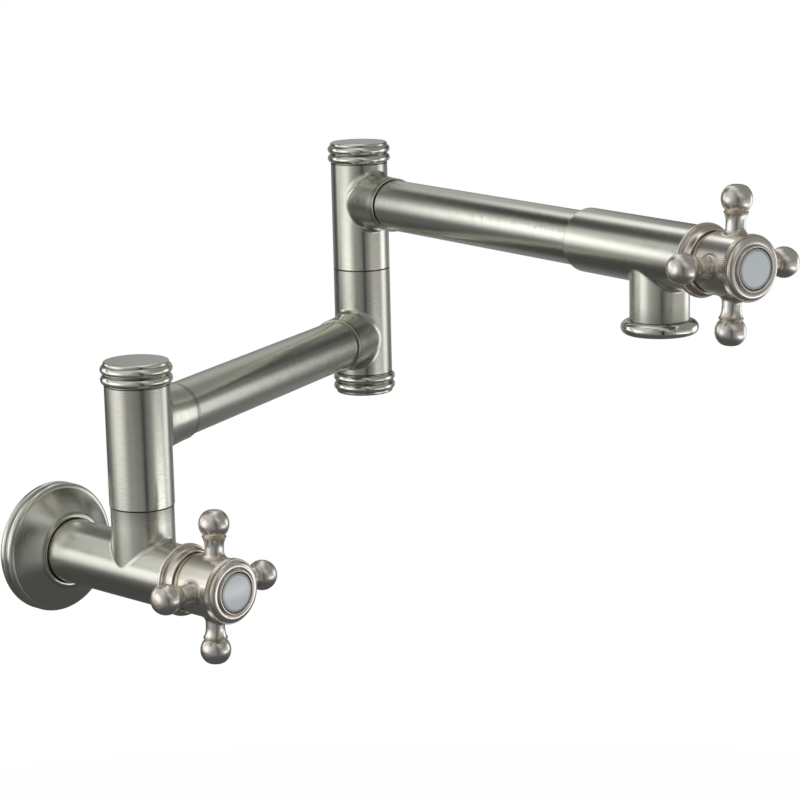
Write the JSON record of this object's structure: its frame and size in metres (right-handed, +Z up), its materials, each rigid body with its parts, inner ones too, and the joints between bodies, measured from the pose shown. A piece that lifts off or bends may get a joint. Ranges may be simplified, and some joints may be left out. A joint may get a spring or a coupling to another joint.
{
  "type": "wall mounted pot filler",
  "caption": "Wall mounted pot filler: beaded flange, valve with cross handle, riser swivel, two folding arms on a tall elbow, and a spout valve with a polished outlet rim.",
  "frame": {"origin": "centre of the wall flange's back face, on the wall plane and the inlet axis", "axes": "+Y into the wall, -Y into the room along the inlet tube, +X to the right seen from the room, +Z up along the riser"},
  "size_m": [0.2963, 0.3489, 0.226],
  "materials": {
    "brushed_nickel": "brushed nickel plate on cast brass, soft reflections",
    "brushed_nickel_tube": "brushed nickel plate on brass tube, brushed round the tube",
    "nickel_caps": "nickel plate, turned and brighter on the beads",
    "handle_nickel": "satin nickel plate, slightly warmer than the body",
    "nickel_bezels": "nickel plate, knurled band and bright lip",
    "polished_nickel": "polished nickel plate",
    "button_glaze": "glossy pale blue-grey",
    "seal_rubber": "black nitrile rubber, matt",
    "disc_ceramic": "lapped white ceramic",
    "bearing_polymer": "off-white acetal",
    "inner_steel": "plain stainless steel",
    "inner_brass": "turned brass, unplated"
  },
  "bodies": {
    "wall_body": {"inlet_body": "brushed_nickel", "wall_flange": "brushed_nickel", "flange_gasket": "seal_rubber", "flange_o_ring": "seal_rubber", "inlet_screen": "inner_steel", "wall_cartridge": "inner_brass", "wall_seat_seal": "seal_rubber", "wall_fixed_disc": "disc_ceramic", "wall_bonnet_nut": "inner_brass", "wall_trim_ring": "brushed_nickel", "swivel_stem": "inner_brass", "swivel_bush": "bearing_polymer", "swivel_seal_low": "seal_rubber", "swivel_seal_high": "seal_rubber", "swivel_washer": "bearing_polymer", "swivel_nut": "inner_brass"},
    "lower_arm": {"lower_sleeve": "brushed_nickel", "lower_cap": "nickel_caps", "lower_tube": "brushed_nickel_tube", "elbow_lower_sleeve": "brushed_nickel", "elbow_bottom_cap": "nickel_caps", "elbow_stem": "inner_brass", "elbow_bush": "bearing_polymer", "elbow_seal_low": "seal_rubber", "elbow_seal_high": "seal_rubber", "elbow_foot_seal_low": "seal_rubber", "elbow_foot_seal_high": "seal_rubber", "elbow_washer": "bearing_polymer", "elbow_nut": "inner_brass", "elbow_lock_washer": "inner_steel", "elbow_lock_nut": "inner_brass"},
    "upper_arm": {"elbow_upper_sleeve": "brushed_nickel", "elbow_top_cap": "nickel_caps", "upper_tube": "brushed_nickel_tube", "spout_body": "brushed_nickel", "spout_rim": "polished_nickel", "aerator_insert": "inner_steel", "aerator_washer": "seal_rubber", "spout_cartridge": "inner_brass", "spout_seat_seal": "seal_rubber", "spout_fixed_disc": "disc_ceramic", "spout_bonnet_nut": "inner_brass", "spout_trim_ring": "brushed_nickel"},
    "wall_handle": {"wall_spindle": "inner_steel", "wall_moving_disc": "disc_ceramic", "wall_cross": "handle_nickel", "wall_handle_screw": "inner_steel", "wall_bezel": "nickel_bezels", "wall_button": "button_glaze"},
    "spout_handle": {"spout_spindle": "inner_steel", "spout_moving_disc": "disc_ceramic", "spout_cross": "handle_nickel", "spout_handle_screw": "inner_steel", "spout_bezel": "nickel_bezels", "spout_button": "button_glaze"}
  },
  "joints": [
    {"name": "lower_swivel", "type": "hinge", "parent": "wall_body", "child": "lower_arm", "pos_m": [0, -0.0733, 0.0326], "axis": [0, 0, 1], "range_deg": [-217.4, 0]},
    {"name": "elbow_swivel", "type": "hinge", "parent": "lower_arm", "child": "upper_arm", "pos_m": [0.24078, 0.0082, 0.111], "axis": [0, 0, 1], "continuous": true},
    {"name": "wall_handle_turn", "type": "hinge", "parent": "wall_body", "child": "wall_handle", "pos_m": [0, -0.1238, 0], "axis": [0, -1, 0], "range_deg": [0, 90]},
    {"name": "spout_handle_turn", "type": "hinge", "parent": "upper_arm", "child": "spout_handle", "pos_m": [0.16732, -0.305, 0.1502], "axis": [-0.2284, -0.9736, 0], "range_deg": [0, 90]}
  ]
}
